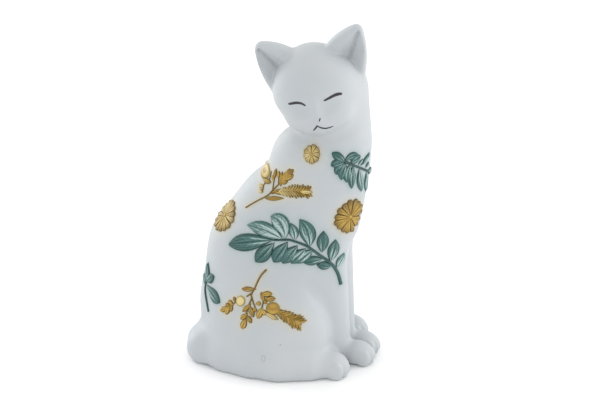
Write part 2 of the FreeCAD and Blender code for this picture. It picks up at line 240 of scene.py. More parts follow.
def join_parts(near, p):
    """The whole skin from the distances to its parts."""
    d = blend(near["torso_shell"], near["tail"], 8.0)
    d = blend(d, near["forelegs"], 4.0)
    d = blend(d, np.minimum(near["hind_paw_left"], near["hind_paw_right"]), 5.0)
    d = blend(d, np.minimum(near["front_paw_left"], near["front_paw_right"]), 4.0)
    head = blend(near["head_shell"], np.minimum(near["ear_left"], near["ear_right"]), 1.8)
    d = blend(d, head, 6.0)
    d = -blend(-d, p[..., 2], 1.5)
    vent = np.hypot(p[..., 0] - VENT_X, p[..., 1]) - VENT_RADIUS
    vent = np.maximum(vent, p[..., 2] - VENT_DEPTH)
    return np.maximum(d, -vent)


def cat(p):
    return join_parts({name: part(p) for name, part in PARTS.items()}, p)


def gradient(field, p, reach=0.25):
    """Slope of a field by central differences."""
    out = np.empty(p.shape)
    for axis in range(3):
        step = np.zeros(3)
        step[axis] = reach
        out[..., axis] = (field(p + step) - field(p - step)) / (2.0 * reach)
    return out


def settle(field, p, rounds=4, most=1.0):
    """Moves points onto the surface of a field."""
    for _ in range(rounds):
        slope = gradient(field, p)
        move = -field(p)[:, None] * slope / np.maximum((slope ** 2).sum(-1), 1e-6)[:, None]
        size = np.linalg.norm(move, axis=1, keepdims=True)
        p = p + move * np.minimum(1.0, most / np.maximum(size, 1e-9))
    return p


# ---- the skin as a mesh ------------------------------------------------------------------
def sample_grid(field, low, high, step, coarse=4):
    """Field values on a grid, exact near the surface and only a sign elsewhere."""
    counts = [int(math.ceil((high[i] - low[i]) / (step * coarse))) * coarse + 1 for i in range(3)]
    axes = [low[i] + step * np.arange(counts[i]) for i in range(3)]
    rough = np.stack(np.meshgrid(*[a[::coarse] for a in axes], indexing="ij"), -1)
    rough_value = field(rough)
    values = rough_value.repeat(coarse, 0).repeat(coarse, 1).repeat(coarse, 2)
    values = values[:counts[0], :counts[1], :counts[2]].copy()
    near = np.abs(rough_value) < step * coarse * 1.9
    near = near.repeat(coarse, 0).repeat(coarse, 1).repeat(coarse, 2)
    near = near[:counts[0], :counts[1], :counts[2]]
    index = np.argwhere(near)
    points = np.stack([axes[i][index[:, i]] for i in range(3)], -1)
    values[near] = np.concatenate([field(part) for part in np.array_split(points, 24)])
    return values, axes


def surface_net(values, axes):
    """One vertex in every cell that the surface crosses and one quad across every crossed edge."""
    inside = values < 0.0
    cells = tuple(n - 1 for n in inside.shape)
    count = np.zeros(cells, int)
    for i in (0, 1):
        for j in (0, 1):
            for k in (0, 1):
                count += inside[i:i + cells[0], j:j + cells[1], k:k + cells[2]]
    crossed = (count > 0) & (count < 8)
    number = -np.ones(cells, int)
    number[crossed] = np.arange(crossed.sum())
    index = np.argwhere(crossed)
    half = 0.5 * (axes[0][1] - axes[0][0])
    verts = np.stack([axes[i][index[:, i]] + half for i in range(3)], -1)
    quads = []
    for axis in range(3):
        u, v = [a for a in range(3) if a != axis]
        lower = np.take(inside, range(0, inside.shape[axis] - 1), axis)
        upper = np.take(inside, range(1, inside.shape[axis]), axis)
        edge = np.argwhere(lower != upper)
        edge = edge[(edge[:, u] > 0) & (edge[:, v] > 0)]
        edge = edge[(edge[:, u] < cells[u]) & (edge[:, v] < cells[v])]
        leaving = lower[tuple(edge.T)]
        ring = []
        for du, dv in ((-1, -1), (0, -1), (0, 0), (-1, 0)):
            cell = edge.copy()
            cell[:, u] += du
            cell[:, v] += dv
            ring.append(number[tuple(cell.T)])
        ring = np.stack(ring, -1)
        if axis == 1:
            leaving = ~leaving
        ring[~leaving] = ring[~leaving][:, ::-1]
        quads.append(ring)
    return verts, np.concatenate(quads)


def part_distances(p):
    return np.stack([part(p) for part in PARTS.values()], -1)


def label_faces(verts, quads):
    """Which part each face belongs to."""
    centres = verts[quads].mean(1)
    return part_distances(centres).argmin(1)


def even_borders(verts, quads, labels):
    """Slides the vertices between two parts onto the line where the parts are equally near."""
    low = np.full(len(verts), 99)
    high = np.full(len(verts), -1)
    for corner in range(4):
        np.minimum.at(low, quads[:, corner], labels)
        np.maximum.at(high, quads[:, corner], labels)
    border = np.nonzero(low != high)[0]
    first = low[border]
    second = high[border]
    rows = np.arange(len(border))

    def difference(p):
        near = part_distances(p)
        return near[rows, first] - near[rows, second]

    p = verts[border]
    start = p.copy()
    for _ in range(4):
        normal = gradient(cat, p)
        normal /= np.maximum(np.linalg.norm(normal, axis=1, keepdims=True), 1e-9)
        slope = gradient(difference, p)
        slope -= (slope * normal).sum(1, keepdims=True) * normal
        move = -difference(p)[:, None] * slope / np.maximum((slope ** 2).sum(1), 0.05)[:, None]
        p = p + np.clip(move, -0.3, 0.3)
        p = settle(cat, p, 1)
        shift = np.clip(p - start, -0.6 * GRID_STEP, 0.6 * GRID_STEP)
        p = start + shift
    verts[border] = settle(cat, p, 2, 0.2)
    return verts


def make_mesh(name, verts, faces, normals=None, fields=None):
    """A mesh object from millimetre vertices, with smooth normals and painted fields."""
    mesh = bpy.data.meshes.new(name)
    mesh.from_pydata((verts * MM).tolist(), [], [list(f) for f in faces])
    mesh.update()
    mesh.polygons.foreach_set("use_smooth", [True] * len(mesh.polygons))
    if normals is not None:
        mesh.normals_split_custom_set_from_vertices(normals.tolist())
    for key, value in (fields or {}).items():
        layer = mesh.attributes.new(key, "FLOAT", "POINT")
        layer.data.foreach_set("value", np.asarray(value, dtype=np.float32))
    obj = bpy.data.objects.new(name, mesh)
    bpy.context.collection.objects.link(obj)
    return obj


def shell_piece(name, verts, normals, quads, thickness):
    """A closed piece of the skin: its outer face, the same face moved inwards, and the rim."""
    used, local = np.unique(quads, return_inverse=True)
    local = local.reshape(quads.shape)
    outer = verts[used]
    outer_normals = normals[used]
    inner = outer - outer_normals * thickness
    inner[:, 2] = np.maximum(inner[:, 2], np.minimum(outer[:, 2], thickness))
    count = len(used)
    edges = {}
    for face in local.tolist():
        for i in range(4):
            a = face[i]
            b = face[(i + 1) % 4]
            if (b, a) in edges:
                del edges[(b, a)]
            else:
                edges[(a, b)] = True
    rim = [[b, a, a + count, b + count] for a, b in edges]
    faces = local.tolist() + (local[:, ::-1] + count).tolist() + rim
    all_normals = np.concatenate([outer_normals, -outer_normals])
    return make_mesh(name, np.concatenate([outer, inner]), faces, all_normals)


def build_skin():
    """The glazed skin as one closed piece for each casting of the CAD model."""
    values, axes = sample_grid(cat, GRID_LOW, GRID_HIGH, GRID_STEP)
    verts, quads = surface_net(values, axes)
    verts = settle(cat, verts)
    labels = label_faces(verts, quads)
    verts = even_borders(verts, quads, labels)
    normals = gradient(cat, verts)
    normals /= np.maximum(np.linalg.norm(normals, axis=1, keepdims=True), 1e-9)
    pieces = {}
    for i, name in enumerate(PARTS):
        thickness = SHELL.get(name, THIN_SHELL)
        piece = shell_piece("glazed_" + name, verts, normals, quads[labels == i], thickness)
        pieces[name] = piece
        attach(piece, "root")
        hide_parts(name)
    return pieces


# ---- relief drawings ---------------------------------------------------------------------
# A drawing is made flat, in millimetres, u to the right and v up, and is then pressed onto
# the skin. Every point carries painted fields: across runs from -1 to 1 between a petal's
# edges, along from 0 at its root to 1 at its tip, tone is its own shade, wash is how pale
# its glaze is and ink is 1 on stems and -1 on berries.
RELIEF = 1.0                   # how far a leaf stands up
SINK = 0.9                     # how deep its underside lies in the skin
FAR_SHIFT = 2.5                # how much further back the far flank's reliefs sit
HALO = 0.45                    # width of the thin glaze round each leaf
STAIN_REACH = 1.5              # how far colour bleeds into the white glaze
FIELDS = ("across", "along", "tone", "wash", "ink")
ACROSS_STEPS = (-1.0, -0.93, -0.8, -0.55, -0.3, -0.12, 0.0, 0.12, 0.3, 0.55, 0.8, 0.93, 1.0)


class Drawing:
    """Flat relief patches with their painted fields."""

    def __init__(self, seed, fullness=1.0, point=1.7, reach=0.0):
        self.random = np.random.default_rng(seed)
        self.reach = reach           # runs every leaf back towards its stem
        self.fullness = fullness     # makes every leaf broader
        self.point = point           # makes every leaf more pointed
        self.points = []
        self.faces = []
        self.fields = {name: [] for name in FIELDS}
        self.count = 0

    def patch(self, u, v, height, across, along, wash, ink, closed=False):
        """Adds a grid of points as a closed slab: rows along the petal, columns across it."""
        rows, columns = u.shape
        tone = self.random.random()
        lift = 0.12 * self.random.random() * (height > 0.05)
        top = np.stack([u, v, height + lift], -1).reshape(-1, 3)
        bottom = np.stack([u, v, np.full(u.shape, -SINK)], -1).reshape(-1, 3)
        self.points.append(np.concatenate([top, bottom]))
        values = {"across": across, "along": along, "tone": np.full(u.shape, tone),
                  "wash": wash * np.ones(u.shape), "ink": np.full(u.shape, ink)}
        for name in FIELDS:
            flat = np.asarray(values[name], float).reshape(-1)
            self.fields[name].append(np.concatenate([flat, flat]))
        under = rows * columns
        last = columns if closed else columns - 1
        for i in range(rows - 1):
            for j in range(last):
                a = self.count + i * columns + j
                b = self.count + i * columns + (j + 1) % columns
                c = b + columns
                d = a + columns
                self.faces.append((a, b, c, d))
                self.faces.append((d + under, c + under, b + under, a + under))
        if closed:
            rim = [(rows - 1) * columns + j for j in range(columns)]
        else:
            rim = list(range(columns))
            rim += [i * columns + columns - 1 for i in range(1, rows)]
            rim += [(rows - 1) * columns + j for j in range(columns - 2, -1, -1)]
            rim += [i * columns for i in range(rows - 2, 0, -1)]
        for k in range(len(rim)):
            a = self.count + rim[k]
            b = self.count + rim[(k + 1) % len(rim)]
            self.faces.append((b, a, a + under, b + under))
        self.count += 2 * under

    def blade(self, line, half_width, height, wash, ink, rib=0.35):
        """A petal, leaf or stem along a centre line, with a thin halo of glaze on each side."""
        line = np.asarray(line, float)
        rows = len(line)
        heading = np.gradient(line, axis=0)
        heading /= np.maximum(np.linalg.norm(heading, axis=1, keepdims=True), 1e-9)
        side = np.stack([-heading[:, 1], heading[:, 0]], -1)
        steps = np.array(ACROSS_STEPS)
        offset = half_width[:, None] * steps[None, :]
        edge = half_width[:, None] + HALO
        offset = np.concatenate([-edge, offset, edge], 1)
        across = np.concatenate([[-1.3], steps, [1.3]])
        across = np.repeat(across[None, :], rows, 0)
        inner = np.clip(1.0 - across ** 2, 0.0, 1.0)
        rise = height[:, None] * inner ** 0.4
        rise -= rib * height[:, None] * np.exp(-(across / 0.14) ** 2)
        rise = np.where(np.abs(across) > 1.0, 0.03, np.maximum(rise, 0.05))
        u = line[:, :1] + side[:, :1] * offset
        v = line[:, 1:] + side[:, 1:] * offset
        along = np.repeat(np.linspace(0.0, 1.0, rows)[:, None], u.shape[1], 1)
        self.patch(u, v, rise, across, along, wash, ink)

    def leaf(self, base, tip, width, bend=0.0, wash=0.2, belly=0.45, rise=1.0):
        """A pointed leaf. bend pushes its middle to the left of the way from base to tip."""
        tip = np.array(tip, float)
        base = np.array(base, float) - self.reach * (tip - np.array(base, float))
        run = tip - base
        left = np.array([-run[1], run[0]]) / np.linalg.norm(run)
        s = 0.5 - 0.5 * np.cos(np.linspace(0.0, math.pi, 17))
        line = base + s[:, None] * run + (4.0 * s * (1.0 - s) * bend)[:, None] * left
        swell = (s / belly) ** (self.point * belly)
        swell *= ((1 - s) / (1 - belly)) ** (self.point * (1 - belly))
        half_width = np.maximum(0.5 * width * self.fullness * swell, 0.06)
        height = RELIEF * rise * np.clip(half_width / 0.9, 0.15, 1.0)
        self.blade(line, half_width, height, wash, 0.0)

    def petal(self, centre, angle, radius, half_angle, wash, reach=1.0):
        """One wedge of a flower, with a rounded, notched end."""
        s = np.linspace(0.0, 1.0, 13)
        way = np.array([math.cos(angle), math.sin(angle)])
        line = np.array(centre) + (0.06 + 0.94 * s[:, None]) * radius * reach * way
        wedge = radius * np.tan(half_angle) * (0.06 + 0.94 * s)
        round_end = np.sqrt(np.clip(1.0 - ((s - 0.80) / 0.21).clip(0, 1) ** 2, 0.0, 1.0))
        half_width = np.maximum(wedge * round_end, 0.08)
        height = RELIEF * (0.55 + 0.45 * s) * np.clip(half_width / 0.5, 0.3, 1.0)
        self.blade(line, half_width, height, wash, 0.0, rib=0.25)

    def stem(self, points, thick, thin, wash=0.0, ink=1.0):
        """A tapering stem on a smooth line through the points."""
        line = smooth_line(points, 8)
        half_width = 0.5 * np.linspace(thick, thin, len(line))
        height = np.full(len(line), 0.75 * RELIEF) * np.clip(half_width / 0.4, 0.5, 1.2)
        self.blade(line, half_width, height, wash, ink, rib=0.0)

    def stroke(self, line, half_width):
        """A brushed line that lies flat on the glaze."""
        heading = np.gradient(line, axis=0)
        heading /= np.maximum(np.linalg.norm(heading, axis=1, keepdims=True), 1e-9)
        side = np.stack([-heading[:, 1], heading[:, 0]], -1)
        across = np.repeat(np.array([[-1.0, -0.5, 0.0, 0.5, 1.0]]), len(line), 0)
        offset = half_width[:, None] * across
        u = line[:, :1] + side[:, :1] * offset
        v = line[:, 1:] + side[:, 1:] * offset
        along = np.repeat(np.linspace(0.0, 1.0, len(line))[:, None], 5, 1)
        self.patch(u, v, 0.10 - 0.05 * np.abs(across), across, along, 0.0, 1.0)

    def berry(self, centre, long_radius, short_radius, tilt=0.0, ring=0.0, wash=(0.0, 0.0), rise=1.3):
        """A dome, or a ring if ring is 1, on an ellipse. wash runs from its foot to its top."""
        rho = np.array([0.02, 0.2, 0.4, 0.6, 0.75, 0.87, 0.95, 1.0])
        angle = np.linspace(0.0, 2.0 * math.pi, 36, endpoint=False)
        ca, sa = math.cos(tilt), math.sin(tilt)
        reach = np.concatenate([rho, [1.0 + HALO / short_radius]])
        x = long_radius * reach[:, None] * np.cos(angle)
        y = short_radius * reach[:, None] * np.sin(angle)
        dome = np.sqrt(np.clip(1.0 - rho ** 2, 0.0, 1.0))
        hoop = np.exp(-((rho - 0.78) / 0.16) ** 2)
        height = RELIEF * rise * ((1 - ring) * dome + ring * (0.25 * dome + 0.75 * hoop))
        height = np.concatenate([np.maximum(height, 0.05), [0.03]])
        shape = x.shape
        across = np.concatenate([np.maximum(rho, 0.25), [1.3]])[:, None] * np.ones(shape)
        along = 0.5 + 0.5 * np.sin(angle)[None, :] * np.minimum(reach, 1.0)[:, None]
        u = centre[0] + ca * x - sa * y
        v = centre[1] + sa * x + ca * y
        shade = wash[0] + (wash[1] - wash[0]) * along
        self.patch(u, v, height[:, None] * np.ones(shape), across, along, shade, -1.0, closed=True)

    def spike(self, base, tip, width, rows, wash=0.1):
        """A serrated flower spike: pairs of overlapping scales up a middle line."""
        base = np.array(base, float)
        tip = np.array(tip, float)
        run = tip - base
        length = np.linalg.norm(run)
        ahead = run / length
        left = np.array([-ahead[1], ahead[0]])
        self.leaf(base, base + 0.95 * run, width * 0.55, 0.0, -0.6, 0.5, 0.4)
        for i in range(rows):
            t = 0.02 + 0.80 * i / (rows - 1)
            root = base + run * t
            half = 0.5 * width * math.sin(math.pi * min(1.0, 0.22 + 0.62 * t)) ** 0.7
            for side in (-1.0, 1.0):
                jitter = 0.85 + 0.3 * self.random.random()
                end = root + ahead * (0.85 * half * jitter + 1.1) + left * side * 1.1 * half * jitter
                pale = wash * (1.0 - t) + 0.25 * (self.random.random() - 0.5)
                self.leaf(root, end, width * 0.15, -0.3 * side, pale, 0.6, 1.5)
        self.leaf(base + 0.72 * run, tip, width * 0.30, 0.0, wash, 0.5, 1.1)


def smooth_line(points, per_span):
    """A Catmull-Rom curve through the points."""
    p = np.array(points, float)
    p = np.concatenate([[2 * p[0] - p[1]], p, [2 * p[-1] - p[-2]]])
    out = []
    for i in range(1, len(p) - 2):
        for t in np.linspace(0.0, 1.0, per_span, endpoint=False):
            a, b, c, d = p[i - 1], p[i], p[i + 1], p[i + 2]
            out.append(0.5 * (2 * b + (c - a) * t + (2 * a - 5 * b + 4 * c - d) * t ** 2
                              + (3 * b - a - 3 * c + d) * t ** 3))
    out.append(p[-2])
    return np.array(out)


def draw_frond(d):
    """The large green frond across the flank."""
    for base, tip, width, bend, wash, belly in [
            ((-7, -0.5), (-34, -7), 8.0, -0.8, 0.15, 0.6),
            ((-2, 0.5), (-23, 6), 7.5, -1.6, 0.75, 0.5),
            ((-0.5, 0.5), (-9, 13), 8.5, -2.8, 0.85, 0.6),
            ((5, 0.5), (2.5, 10), 4.6, -0.6, 0.55, 0.45),
            ((13, -4), (7.5, 12.5), 7.4, -2.0, 0.45, 0.5),
            ((20, -8), (21, 5.5), 5.4, 0.0, 0.15, 0.5),
            ((24.5, -14), (27.5, -0.5), 5.2, -0.3, 0.35, 0.5),
            ((28, -18.5), (32, -10.5), 3.2, 0.0, 0.8, 0.5),
            ((-6.5, -2), (-17.5, -14), 6.8, 0.0, 0.12, 0.6),
            ((1, -1), (-7, -13.5), 6.8, 0.0, 0.1, 0.6),
            ((6.5, -3), (-2, -14), 6.2, 0.0, 0.2, 0.55),
            ((11, -5), (3, -14), 6.0, 0.0, 0.35, 0.55),
            ((14.5, -6), (5.5, -14), 5.6, 0.0, 0.4, 0.5),
            ((20, -12), (9.5, -13.5), 4.8, 0.1, 0.1, 0.5),
            ((25.5, -16.5), (17, -15.5), 4.2, 0.5, 0.1, 0.5)]:
        d.leaf(base, tip, width, bend, wash, belly)
    d.stem([(30.5, -29.5), (29, -23), (27, -18.5), (24, -14.5), (18, -9), (13, -4.5),
            (8.5, -2), (2.5, 0), (-1, 0), (-7, -0.5)], 1.5, 0.9)


def draw_fern(d):
    """The green fern on the chest and throat."""
    for base, tip, width, bend, wash, belly in [
            ((-3, 5.5), (-10, 11), 3.8, 0.0, 0.1, 0.6),
            ((-3.5, 6.5), (4.5, 9), 3.4, 0.6, 0.2, 0.55),
            ((0, 4.5), (6.5, 7.5), 4.2, 0.4, 0.25, 0.5),
            ((-3.5, 5.5), (-11, 3.5), 4.0, -0.4, 0.1, 0.6),
            ((-3.5, 5), (-8.5, -1.5), 4.4, -0.4, 0.15, 0.6),
            ((-3, 4.5), (-5.5, -5), 4.4, -0.5, 0.2, 0.5),
            ((-0.5, 3.5), (-2, -7), 4.3, -0.8, 0.3, 0.5),
            ((1.5, 2.5), (1.5, -11.5), 4.0, -0.6, 0.3, 0.5),
            ((5.5, -0.5), (9.5, -15.5), 4.0, -0.4, 0.6, 0.5),
            ((12, -4), (14.5, -18), 3.6, 0.0, 0.75, 0.5),
            ((7, 1.5), (14.5, 7), 2.2, 0.0, 0.3, 0.5), ((5, 2.5), (8.5, 5), 1.4, 0.0, 0.8, 0.5),
            ((11, -1), (14, 1.5), 1.6, 0.0, 0.5, 0.5), ((13.5, -4), (20, -7), 3.4, 0.0, 0.4, 0.5)]:
        d.leaf(base, tip, width, bend, wash, belly)
    d.stem([(-7.5, 11), (-3.5, 6), (1.5, 3), (6, 0.5), (13.5, -4)], 1.2, 1.0)


def draw_rump_leaf(d):
    """The green leaf on the rump beside the tail."""
    for base, tip, width, bend, wash, belly in [
            ((-7, 0.5), (-9, 12.5), 6.0, 0.5, 0.2, 0.5), ((-7, 1), (0.5, 7.5), 4.5, 0.4, 0.15, 0.55),
            ((-6.5, -0.5), (10.5, -4.5), 6.0, -0.6, 0.2, 0.6),
            ((-8, -1), (-16, 3), 4.5, 0.0, 0.3, 0.5)]:
        d.leaf(base, tip, width, bend, wash, belly)
    d.stem([(0.5, -14.5), (-4, -9.5), (-8, -4), (-8, 1)], 1.4, 0.9)


def draw_flower(d, centre, radius, petals, pale):
    """A flat flower of notched petals. pale is how much its glaze is washed out."""
    for i in range(petals):
        turn_by = 2.0 * math.pi * i / petals + 0.09 * (d.random.random() - 0.5)
        reach = 0.90 + 0.13 * d.random.random()
        d.petal(centre, turn_by, radius, math.pi / petals, pale + 0.3 * d.random.random(), reach)
    d.berry(centre, 0.12 * radius, 0.12 * radius, rise=0.8)


def draw_shoulder_sprig(d):
    """The gold sprig behind the shoulder: an oval pod, leaflets, a flower head and a spike."""
    d.stem([(-15, -12.5), (-9, -8), (-2, -3), (0.5, 0.5), (3.5, 4.5), (5.5, 7.5), (8, 10)], 0.75, 0.55)
    d.stem([(0.5, 0.5), (0, 4), (-0.5, 7.5)], 0.6, 0.5)
    d.stem([(3.5, 4.5), (3, 8), (2.5, 10)], 0.6, 0.5)
    d.stem([(0.5, -1.5), (4.5, 1)], 0.6, 0.6)
    d.stem([(-6, -2), (-6.5, 3), (-4, 6.5), (-4, 11)], 0.6, 0.5)
    d.berry((-9.5, 10.5), 5.6, 3.8, 2.35, wash=(0.95, 0.35), rise=1.1)
    for base, tip, width, wash in [
            ((-0.5, 8), (0, 13), 2.2, 0.15), ((-0.3, 6), (-2.3, 9), 1.6, 0.4),
            ((2.7, 8.5), (2.5, 12), 2.0, 0.2),
            ((-7, 5), (-1.8, 4.5), 2.2, 0.35), ((6, -3), (-3, -5), 1.9, 0.3),
            ((-6.5, -2), (-9, -0.5), 1.5, 0.85),
            ((-7, 1), (-10.5, 2), 1.5, 0.9), ((5, 5.5), (5, 12), 2.2, 0.2),
            ((6, 7), (8, 12.5), 2.4, 0.15),
            ((7, 8), (10.5, 14.5), 2.6, 0.1), ((8, 9.5), (13, 14.5), 2.6, 0.15),
            ((8, 8.5), (13, 11.5), 2.4, 0.15),
            ((5.5, 6), (9.5, 7.5), 2.2, 0.2)]:
        d.leaf(base, tip, width, 0.0, wash, 0.55)
    d.spike((4.5, 0.5), (24, 5), 6.4, 11, 0.85)


def draw_haunch_sprig(d):
    """The gold sprig on the haunch: two berries, leafy twigs and a cone of petals."""
    d.stem([(2.5, 13), (-0.5, 9.5), (-2.5, 5.5), (-4, 1.5), (-5.5, -1.5), (-5.5, -4.5), (-6.5, -7.5),
            (-7.5, -11.5), (-8.5, -15), (-9, -19)], 0.85, 0.5)
    d.stem([(-5, -1), (-8.5, -3.5)], 0.6, 0.6)
    d.stem([(-15, -7.5), (-20, -11), (-24, -13.5)], 0.6, 0.5)
    d.stem([(-5.5, -3), (-4, -7), (-3, -9), (-3, -11.5)], 0.6, 0.5)
    d.stem([(2, -3.5), (1.5, -7), (1, -10)], 0.6, 0.5)
    d.berry((-12, -6.5), 3.0, 2.8, 1.2, ring=1.0, wash=(1.1, 1.0), rise=0.9)
    for base, tip, width, wash in [
            ((-5, 1), (-12, 0.5), 2.2, 0.4), ((-17, -9), (-20, -7), 1.9, 0.2),
            ((-19, -10), (-22, -9.5), 1.9, 0.3),
            ((-21, -11.5), (-25, -14), 2.5, 0.2), ((-19.5, -11), (-21, -15.5), 2.6, 0.15),
            ((-17.5, -9.5), (-18, -13.5), 1.9, 0.2), ((-15.5, -7), (-16.5, -4.5), 1.6, 0.4),
            ((-6.5, -8.5), (-10.5, -12.5), 2.0, 0.35), ((-8, -14), (-11.5, -17), 2.2, 0.2),
            ((-8.5, -17.5), (-10.5, -22.5), 3.2, 0.3), ((-7, -15), (-4.5, -18.5), 2.3, 0.3),
            ((-6, -9.5), (-3.5, -15), 2.6, 0.35), ((-3, -9.5), (-2.8, -12), 1.8, 0.3),
            ((-2, -7), (0.5, -6.5), 1.8, 0.3),
            ((1, -10), (-1, -15.5), 3.0, 0.3), ((1.5, -10.5), (4, -13), 2.2, 0.5),
            ((2, -5), (0, 0), 1.8, 0.2),
            ((1, -1.5), (6.5, -0.5), 2.6, 0.2), ((3.5, -4), (8.5, -3), 2.4, 0.25),
            ((2, -5), (4, -6.5), 1.5, 0.1),
            ((4, -12), (11, -15), 2.0, 0.7)]:
        d.leaf(base, tip, width, 0.0, wash, 0.6)
    d.berry((7.5, -9), 3.9, 3.7, wash=(0.1, 0.25), rise=1.0)
    d.spike((10.5, -10.5), (24, -17), 7.5, 8, 0.45)


def pressed_frame(bearing, elevation):
    """Right, up and outward directions of a drawing that faces this way."""
    a, e = math.radians(bearing), math.radians(elevation)
    outward = np.array([math.cos(a) * math.cos(e), math.sin(a) * math.cos(e), math.sin(e)])
    right = np.array([-math.sin(a), math.cos(a), 0.0])
    return right, np.cross(outward, right), outward


def press(name, drawing, centre, axes, far_side=False):
    """Lays a drawing on the skin and makes it a mesh."""
    right, up, outward = axes
    flat = np.concatenate(drawing.points)
    start = np.array(centre) + flat[:, :1] * right + flat[:, 1:2] * up + 25.0 * outward
    if far_side:
        start[:, 1] *= -1.0
        start[:, 0] -= FAR_SHIFT
        outward = outward * np.array([1.0, -1.0, 1.0])
    key = np.round(start, 3)
    spots, back = np.unique(key, axis=0, return_inverse=True)
    travel = np.zeros(len(spots))
    for _ in range(60):
        travel += 0.8 * np.clip(cat(spots - travel[:, None] * outward), -3.0, 12.0)
        travel = np.minimum(travel, 70.0)
    landed = settle(cat, spots - travel[:, None] * outward, 2, 0.3)
    normal = gradient(cat, landed, 0.6)
    normal /= np.maximum(np.linalg.norm(normal, axis=1, keepdims=True), 1e-9)
    back = back.reshape(-1)
    verts = landed[back] + normal[back] * flat[:, 2:]
    fields = {key: np.concatenate(value) for key, value in drawing.fields.items()}
    faces = drawing.faces if not far_side else [face[::-1] for face in drawing.faces]
    return make_mesh(name, verts, faces, None, fields)


# name: (point on the skin, bearing, elevation, material slot, seed, how it is drawn)
SPRIGS = {
    "frond_flank": ((7.7, -29.4, 83.7), -81.0, 6.0, "green_glaze", 1, draw_frond),
    "fern_chest": ((41.1, -15.8, 124.0), -48.0, -2.0, "green_glaze", 2, draw_fern),
    "leaf_rump": ((-39.0, -25.6, 46.7), -141.0, 16.0, "green_glaze", 3, draw_rump_leaf),
    "daisy_chest": ((41.8, -12.0, 95.4), -38.0, -5.0, "gold_glaze", 4,
                    lambda d: draw_flower(d, (-1.3, -0.5), 10.7, 15, 0.05)),
    "daisy_back": ((-33.0, -15.0, 89.0), -139.0, 30.0, "gold_glaze", 5,
                   lambda d: draw_flower(d, (-1.0, 0.0), 10.5, 15, 0.5)),
    "star_flower_throat": ((21.0, -23.0, 133.7), -95.0, -1.0, "gold_glaze", 6,
                           lambda d: draw_flower(d, (-0.6, -0.2), 5.0, 9, 0.6)),
    "gold_sprig_shoulder": ((-2.8, -21.6, 109.4), -109.0, 27.0, "gold_glaze", 7, draw_shoulder_sprig),
    "gold_sprig_haunch": ((-5.2, -37.8, 53.6), -87.0, 20.0, "gold_glaze", 8, draw_haunch_sprig),
}
LEAF_SHAPE = {"green_glaze": (1.2, 2.1, 0.0), "gold_glaze": (1.2, 2.3, 0.3)}
FAR_SIDE = ("frond_flank", "gold_sprig_shoulder", "gold_sprig_haunch", "leaf_rump")


def build_sprigs(materials):
    """Every relief, and the mirrored copies on the far flank, sorted by glaze."""
    reliefs = {slot: [] for slot in materials}
    for name, (centre, bearing, elevation, slot, seed, draw) in SPRIGS.items():
        axes = pressed_frame(bearing, elevation)
        for far in (False, True):
            if far and name not in FAR_SIDE:
                continue
            drawing = Drawing(seed + 20 * far, *LEAF_SHAPE[slot])
            draw(drawing)
            node = name + ("_far" if far else "")
            piece = press("relief_" + node, drawing, centre, axes, far)
            piece.data.materials.append(materials[slot])
            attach(piece, "root")
            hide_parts(node)
            reliefs[slot].append(piece)
    return reliefs


def stain_skin(skin, reliefs):
    """Paints on the skin how near each of its points is to the coloured reliefs."""
    for slot, pieces in reliefs.items():
        spots = [vertex.co for piece in pieces for vertex in piece.data.vertices]
        tree = KDTree(len(spots))
        for i, spot in enumerate(spots):
            tree.insert(spot, i)
        tree.balance()
        for piece in skin.values():
            gaps = np.array([tree.find(vertex.co)[2] for vertex in piece.data.vertices])
            layer = piece.data.attributes.new("near_" + slot, "FLOAT", "POINT")
            layer.data.foreach_set("value", np.exp(-gaps / (STAIN_REACH * MM)).astype(np.float32))


def build_marks(ink):
    """Small handling marks low on the flank: a ring and two specks."""
    drawing = Drawing(60)
    turn_by = np.linspace(0.0, 2.0 * math.pi, 24)
    ring = np.stack([1.1 * np.cos(turn_by), 1.9 * np.sin(turn_by)], -1)
    drawing.stroke(ring, np.full(24, 0.13))
    drawing.stroke(np.array([(9.3, 9.0), (9.9, 9.3)]), np.array([0.2, 0.3]))
    drawing.stroke(np.array([(-3.4, 3.5), (-3.1, 3.9)]), np.array([0.12, 0.15]))
    piece = press("glaze_marks", drawing, (-2.0, -45.0, 15.0), pressed_frame(-88.0, 10.0))
    piece.data.materials.append(ink)
    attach(piece, "root")


def build_face(ink):
    """The painted closed eyes, the mouth and the one nostril."""
    strokes = {
        "eye_line_right": ([(-14.2, 4.4), (-11.7, 5.1), (-9.2, 5.5), (-6.5, 5.1), (-4.6, 3.6)], 1.0, 1.75),
        "eye_line_left": ([(5.8, 4.9), (8.6, 5.6), (11.7, 6.2), (13.8, 6.0), (15.6, 5.3)], 0.95, 1.8),
        "mouth_line": ([(-0.1, -7.0), (1.1, -8.7), (3.6, -10.3), (6.0, -10.8), (8.0, -10.8)], 0.35, 1.05),
        "mouth_line_right": ([(-0.1, -7.0), (-0.9, -8.4), (-3.0, -10.6)], 0.45, 1.0),
        "nostril_left": ([(2.4, -3.2), (1.5, -4.8)], 0.35, 0.8),
    }
    axes = (HEAD_TURN[:, 0], HEAD_TURN[:, 2], -HEAD_TURN[:, 1])
    for i, (name, (points, thin, thick)) in enumerate(strokes.items()):
        drawing = Drawing(40 + i)
        line = smooth_line(points, 8)
        s = np.linspace(0.0, 1.0, len(line))
        half_width = 0.5 * (thin + (thick - thin) * np.sin(math.pi * s) ** 0.6)
        drawing.stroke(line, half_width)
        piece = press(name, drawing, HEAD_CENTRE, axes)
        piece.data.materials.append(ink)
        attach(piece, "root")


# ---- materials ---------------------------------------------------------------------------
WHITE = (0.462, 0.495, 0.518)
WHITE_PALE = (0.500, 0.526, 0.543)
GOLD_STAIN = (0.575, 0.545, 0.425)      # white glaze beside gold relief
GREEN_STAIN = (0.370, 0.455, 0.455)     # white glaze beside green relief


